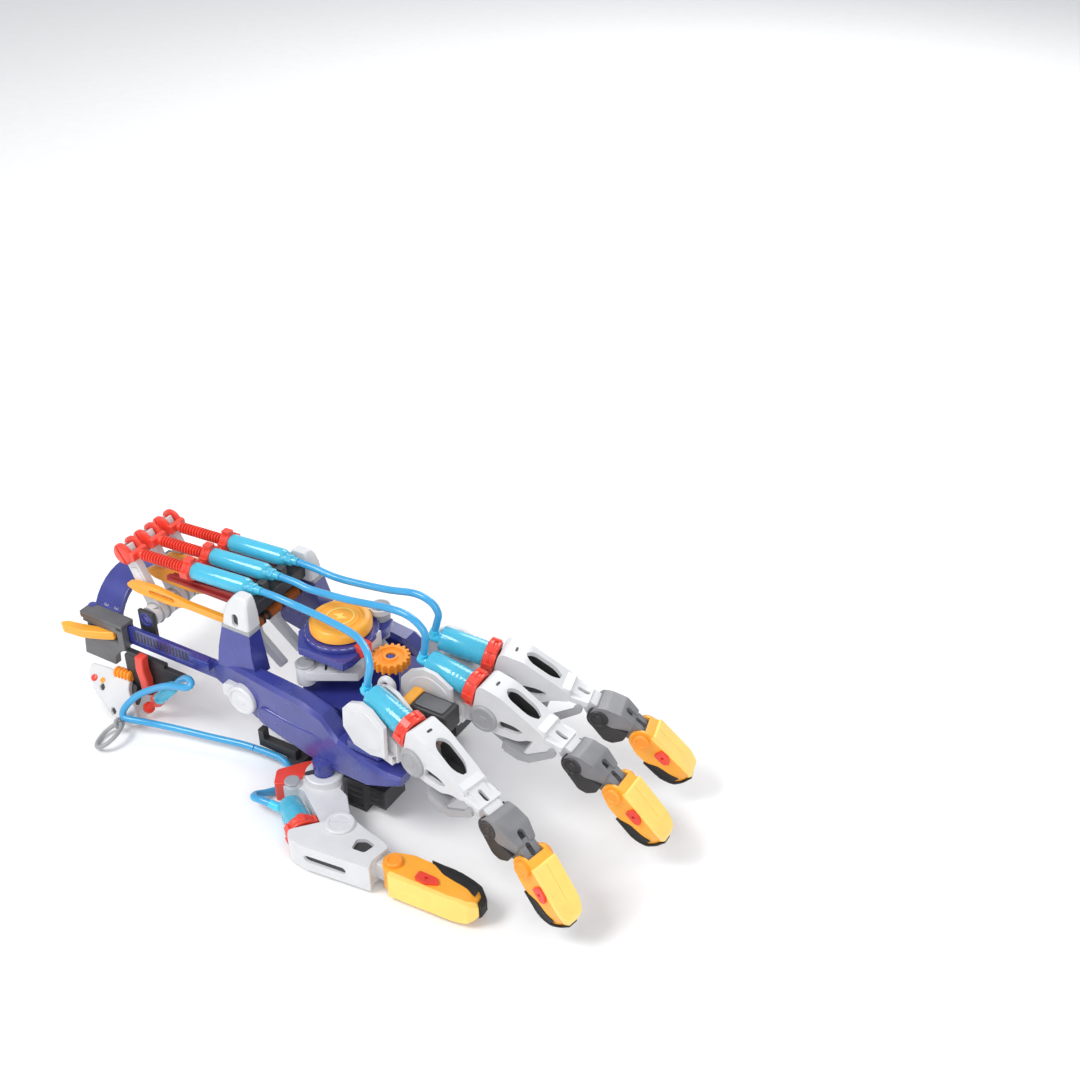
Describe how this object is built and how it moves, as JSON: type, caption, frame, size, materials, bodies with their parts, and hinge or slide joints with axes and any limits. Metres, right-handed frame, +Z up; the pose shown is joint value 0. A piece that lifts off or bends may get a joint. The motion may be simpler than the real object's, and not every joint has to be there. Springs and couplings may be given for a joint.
{
  "type": "wearable hydraulic robot hand",
  "caption": "Wearable toy robot hand: syringes pulled by the wearer push hydraulic cylinders that curl jointed fingers and a thumb.",
  "frame": {"origin": "centre of the palm foot's flat underside, on the surface the hand rests on", "axes": "+X to the fingertips, -Y to the thumb, +Z up"},
  "size_m": [0.3905, 0.1625, 0.1143],
  "materials": {
    "moulded_blue": "satin moulded plastic",
    "moulded_white": "satin moulded plastic",
    "moulded_red": "satin moulded plastic",
    "clear_teal": "clear tinted plastic",
    "hose_blue": "glossy soft tube",
    "moulded_orange": "satin moulded plastic",
    "moulded_yellow": "satin moulded plastic",
    "moulded_dark": "matte moulded plastic",
    "moulded_grey": "satin moulded plastic",
    "moulded_light_grey": "satin moulded plastic",
    "black_rubber": "matte rubber"
  },
  "bodies": {
    "frame": {"left_frame": "moulded_blue", "right_frame": "moulded_blue", "rear_arch": "moulded_blue", "lever_shaft": "moulded_blue", "syringe_bridge": "moulded_dark", "palm_deck": "moulded_blue", "palm_bridge": "moulded_white", "palm_foot": "moulded_dark", "input_barrel_front": "clear_teal", "input_barrel_middle": "clear_teal", "input_barrel_back": "clear_teal", "hose_front": "hose_blue", "hose_middle": "hose_blue", "hose_back": "hose_blue", "thumb_hose_rear": "hose_blue", "thumb_hose_front": "hose_blue"},
    "palm_disc": {"palm_disc": "moulded_yellow"},
    "spread_gear": {"spread_gear": "moulded_orange"},
    "knuckle_front": {"knuckle_front": "moulded_white", "output_cylinder_front": "clear_teal"},
    "rod_front": {"output_rod_front": "moulded_grey"},
    "proximal_front": {"proximal_front": "moulded_white"},
    "link_front": {"curl_link_front": "moulded_light_grey"},
    "middle_front": {"middle_front": "moulded_grey"},
    "tip_front": {"tip_front": "moulded_yellow"},
    "lever_front": {"lever_front": "moulded_white"},
    "piston_front": {"input_piston_front": "moulded_red"},
    "pull_bar_front": {"pull_bar_front": "moulded_orange"},
    "knuckle_middle": {"knuckle_middle": "moulded_white", "output_cylinder_middle": "clear_teal"},
    "rod_middle": {"output_rod_middle": "moulded_grey"},
    "proximal_middle": {"proximal_middle": "moulded_white"},
    "link_middle": {"curl_link_middle": "moulded_light_grey"},
    "middle_middle": {"middle_middle": "moulded_grey"},
    "tip_middle": {"tip_middle": "moulded_yellow"},
    "lever_middle": {"lever_middle": "moulded_white"},
    "piston_middle": {"input_piston_middle": "moulded_red"},
    "pull_bar_middle": {"pull_bar_middle": "moulded_orange"},
    "knuckle_back": {"knuckle_back": "moulded_white", "output_cylinder_back": "clear_teal"},
    "rod_back": {"output_rod_back": "moulded_grey"},
    "proximal_back": {"proximal_back": "moulded_white"},
    "link_back": {"curl_link_back": "moulded_light_grey"},
    "middle_back": {"middle_back": "moulded_grey"},
    "tip_back": {"tip_back": "moulded_yellow"},
    "lever_back": {"lever_back": "moulded_white"},
    "piston_back": {"input_piston_back": "moulded_red"},
    "pull_bar_back": {"pull_bar_back": "moulded_orange"},
    "thumb_base": {"thumb_bracket": "moulded_white", "thumb_cylinder": "clear_teal"},
    "thumb_rod": {"thumb_rod": "moulded_grey"},
    "thumb_proximal": {"thumb_proximal": "moulded_white"},
    "thumb_tip": {"thumb_tip": "moulded_yellow"},
    "slider": {"slider_block": "moulded_grey", "grip": "moulded_white", "thumb_input_barrel": "clear_teal"},
    "slider_lock": {"slider_lock": "moulded_yellow"},
    "trigger": {"trigger": "moulded_red"},
    "thumb_piston": {"thumb_input_piston": "moulded_red"},
    "key_ring": {"key_ring": "moulded_light_grey"}
  },
  "joints": [
    {"name": "palm_disc_turn", "type": "hinge", "parent": "frame", "child": "palm_disc", "pos_m": [-0.0164, 0, 0.0854], "axis": [0, 0, 1], "range_deg": [-180, 180]},
    {"name": "spread_gear_turn", "type": "hinge", "parent": "frame", "child": "spread_gear", "pos_m": [0.017, 0, 0.0724], "axis": [0, 0, 1], "range_deg": [-30, 30]},
    {"name": "splay_front", "type": "hinge", "parent": "frame", "child": "knuckle_front", "pos_m": [0.03395, -0.04102, 0.06765], "axis": [0, 0, 1], "range_deg": [-8, 8], "deforming": ["hose_front"]},
    {"name": "curl_front", "type": "hinge", "parent": "knuckle_front", "child": "proximal_front", "pos_m": [0.0731, -0.0492, 0.06765], "axis": [0.2045, 0.9789, 0], "range_deg": [0, 38]},
    {"name": "rod_slide_front", "type": "slide", "parent": "knuckle_front", "child": "rod_front", "axis": [0.9502, -0.1985, -0.2402], "range_m": [0, 0.0062]},
    {"name": "link_swing_front", "type": "hinge", "parent": "knuckle_front", "child": "link_front", "pos_m": [0.07157, -0.04888, 0.06134], "axis": [0.2045, 0.9789, 0], "range_deg": [0, 32]},
    {"name": "second_bend_front", "type": "hinge", "parent": "proximal_front", "child": "middle_front", "pos_m": [0.12574, -0.0602, 0.05434], "axis": [0.2045, 0.9789, 0], "range_deg": [0, 30]},
    {"name": "tip_set_front", "type": "hinge", "parent": "middle_front", "child": "tip_front", "pos_m": [0.14843, -0.06494, 0.04212], "axis": [0.2045, 0.9789, 0], "range_deg": [-10, 20]},
    {"name": "lever_swing_front", "type": "hinge", "parent": "frame", "child": "lever_front", "pos_m": [-0.143, -0.0166, 0.061], "axis": [0, 1, 0], "range_deg": [0, 30]},
    {"name": "piston_slide_front", "type": "slide", "parent": "frame", "child": "piston_front", "axis": [0.9981, 0, 0.061], "range_m": [0, 0.0208]},
    {"name": "pull_bar_level_front", "type": "hinge", "parent": "lever_front", "child": "pull_bar_front", "pos_m": [-0.14937, -0.0166, 0.07622], "axis": [0, 1, 0], "range_deg": [-30, 0]},
    {"name": "splay_middle", "type": "hinge", "parent": "frame", "child": "knuckle_middle", "pos_m": [0.0442, -0.00116, 0.06765], "axis": [0, 0, 1], "range_deg": [-4, 4], "deforming": ["hose_middle"]},
    {"name": "curl_middle", "type": "hinge", "parent": "knuckle_middle", "child": "proximal_middle", "pos_m": [0.0842, -0.0006, 0.06765], "axis": [-0.014, 0.9999, 0], "range_deg": [0, 38]},
    {"name": "rod_slide_middle", "type": "slide", "parent": "knuckle_middle", "child": "rod_middle", "axis": [0.9798, 0.0137, -0.1994], "range_m": [0, 0.0062]},
    {"name": "link_swing_middle", "type": "hinge", "parent": "knuckle_middle", "child": "link_middle", "pos_m": [0.0829, -0.00062, 0.06128], "axis": [-0.014, 0.9999, 0], "range_deg": [0, 32]},
    {"name": "second_bend_middle", "type": "hinge", "parent": "proximal_middle", "child": "middle_middle", "pos_m": [0.13848, 0.00016, 0.05661], "axis": [-0.014, 0.9999, 0], "range_deg": [0, 30]},
    {"name": "tip_set_middle", "type": "hinge", "parent": "middle_middle", "child": "tip_middle", "pos_m": [0.16236, 0.00049, 0.04582], "axis": [-0.014, 0.9999, 0], "range_deg": [-10, 20]},
    {"name": "lever_swing_middle", "type": "hinge", "parent": "frame", "child": "lever_middle", "pos_m": [-0.143, 0, 0.061], "axis": [0, 1, 0], "range_deg": [0, 30]},
    {"name": "piston_slide_middle", "type": "slide", "parent": "frame", "child": "piston_middle", "axis": [0.9981, 0, 0.061], "range_m": [0, 0.0208]},
    {"name": "pull_bar_level_middle", "type": "hinge", "parent": "lever_middle", "child": "pull_bar_middle", "pos_m": [-0.14937, 0, 0.07622], "axis": [0, 1, 0], "range_deg": [-30, 0]},
    {"name": "splay_back", "type": "hinge", "parent": "frame", "child": "knuckle_back", "pos_m": [0.03796, 0.01815, 0.06765], "axis": [0, 0, 1], "range_deg": [-4, 8], "deforming": ["hose_back"]},
    {"name": "curl_back", "type": "hinge", "parent": "knuckle_back", "child": "proximal_back", "pos_m": [0.0766, 0.0285, 0.06765], "axis": [-0.2588, 0.9659, 0], "range_deg": [0, 38]},
    {"name": "rod_slide_back", "type": "slide", "parent": "knuckle_back", "child": "rod_back", "axis": [0.938, 0.2513, -0.2385], "range_m": [0, 0.0062]},
    {"name": "link_swing_back", "type": "hinge", "parent": "knuckle_back", "child": "link_back", "pos_m": [0.0751, 0.0281, 0.06134], "axis": [-0.2588, 0.9659, 0], "range_deg": [0, 32]},
    {"name": "second_bend_back", "type": "hinge", "parent": "proximal_back", "child": "middle_back", "pos_m": [0.12857, 0.04242, 0.05443], "axis": [-0.2588, 0.9659, 0], "range_deg": [0, 30]},
    {"name": "tip_set_back", "type": "hinge", "parent": "middle_back", "child": "tip_back", "pos_m": [0.15124, 0.0485, 0.04279], "axis": [-0.2588, 0.9659, 0], "range_deg": [-10, 20]},
    {"name": "lever_swing_back", "type": "hinge", "parent": "frame", "child": "lever_back", "pos_m": [-0.143, 0.0166, 0.061], "axis": [0, 1, 0], "range_deg": [0, 30]},
    {"name": "piston_slide_back", "type": "slide", "parent": "frame", "child": "piston_back", "axis": [0.9981, 0, 0.061], "range_m": [0, 0.0208]},
    {"name": "pull_bar_level_back", "type": "hinge", "parent": "lever_back", "child": "pull_bar_back", "pos_m": [-0.14937, 0.0166, 0.07622], "axis": [0, 1, 0], "range_deg": [-30, 0]},
    {"name": "thumb_swivel", "type": "hinge", "parent": "frame", "child": "thumb_base", "pos_m": [0, -0.047, 0.0105], "axis": [0, 0, 1], "range_deg": [-20, 8], "deforming": ["thumb_hose_front"]},
    {"name": "thumb_curl", "type": "hinge", "parent": "thumb_base", "child": "thumb_proximal", "pos_m": [0.032, -0.075, 0.0105], "axis": [0, 0, 1], "range_deg": [0, 35]},
    {"name": "thumb_rod_slide", "type": "slide", "parent": "thumb_base", "child": "thumb_rod", "axis": [0.8406, -0.5417, 0], "range_m": [0, 0.0108]},
    {"name": "thumb_tip_set", "type": "hinge", "parent": "thumb_proximal", "child": "thumb_tip", "pos_m": [0.07301, -0.08201, 0.0105], "axis": [0, 0, 1], "range_deg": [-10, 25]},
    {"name": "slider_slide", "type": "slide", "parent": "frame", "child": "slider", "axis": [1, 0, 0], "range_m": [0, 0.036], "deforming": ["thumb_hose_rear"]},
    {"name": "lock_swing", "type": "hinge", "parent": "slider", "child": "slider_lock", "pos_m": [-0.1645, -0.0368, 0.048], "axis": [0, 0, 1], "range_deg": [0, 35]},
    {"name": "trigger_pull", "type": "hinge", "parent": "slider", "child": "trigger", "pos_m": [-0.137, -0.0426, 0.044], "axis": [0, 1, 0], "range_deg": [0, 12]},
    {"name": "thumb_piston_slide", "type": "slide", "parent": "slider", "child": "thumb_piston", "axis": [0.6811, 0, 0.7322], "range_m": [0, 0.01]},
    {"name": "key_ring_swing", "type": "hinge", "parent": "slider", "child": "key_ring", "pos_m": [-0.1435, -0.063, 0.0062], "axis": [-0.9044, -0.0268, -0.4258], "range_deg": [0, 40]}
  ],
  "couplings": [
    {"joint": "rod_slide_front", "follows": "curl_front", "m_per_rad": 0.008594},
    {"joint": "link_swing_front", "follows": "curl_front", "ratio": 0.81},
    {"joint": "second_bend_front", "follows": "curl_front", "ratio": 0.77},
    {"joint": "lever_swing_front", "follows": "curl_front", "ratio": 0.78684},
    {"joint": "piston_slide_front", "follows": "curl_front", "m_per_rad": 0.031211},
    {"joint": "pull_bar_level_front", "follows": "curl_front", "ratio": -0.78684},
    {"joint": "rod_slide_middle", "follows": "curl_middle", "m_per_rad": 0.008594},
    {"joint": "link_swing_middle", "follows": "curl_middle", "ratio": 0.81},
    {"joint": "second_bend_middle", "follows": "curl_middle", "ratio": 0.77},
    {"joint": "lever_swing_middle", "follows": "curl_middle", "ratio": 0.78684},
    {"joint": "piston_slide_middle", "follows": "curl_middle", "m_per_rad": 0.031211},
    {"joint": "pull_bar_level_middle", "follows": "curl_middle", "ratio": -0.78684},
    {"joint": "rod_slide_back", "follows": "curl_back", "m_per_rad": 0.008594},
    {"joint": "link_swing_back", "follows": "curl_back", "ratio": 0.81},
    {"joint": "second_bend_back", "follows": "curl_back", "ratio": 0.77},
    {"joint": "lever_swing_back", "follows": "curl_back", "ratio": 0.78684},
    {"joint": "piston_slide_back", "follows": "curl_back", "m_per_rad": 0.031211},
    {"joint": "pull_bar_level_back", "follows": "curl_back", "ratio": -0.78684},
    {"joint": "thumb_rod_slide", "follows": "thumb_curl", "m_per_rad": 0.017303},
    {"joint": "trigger_pull", "follows": "thumb_curl", "ratio": 0.34286},
    {"joint": "thumb_piston_slide", "follows": "thumb_curl", "m_per_rad": 0.016354}
  ]
}
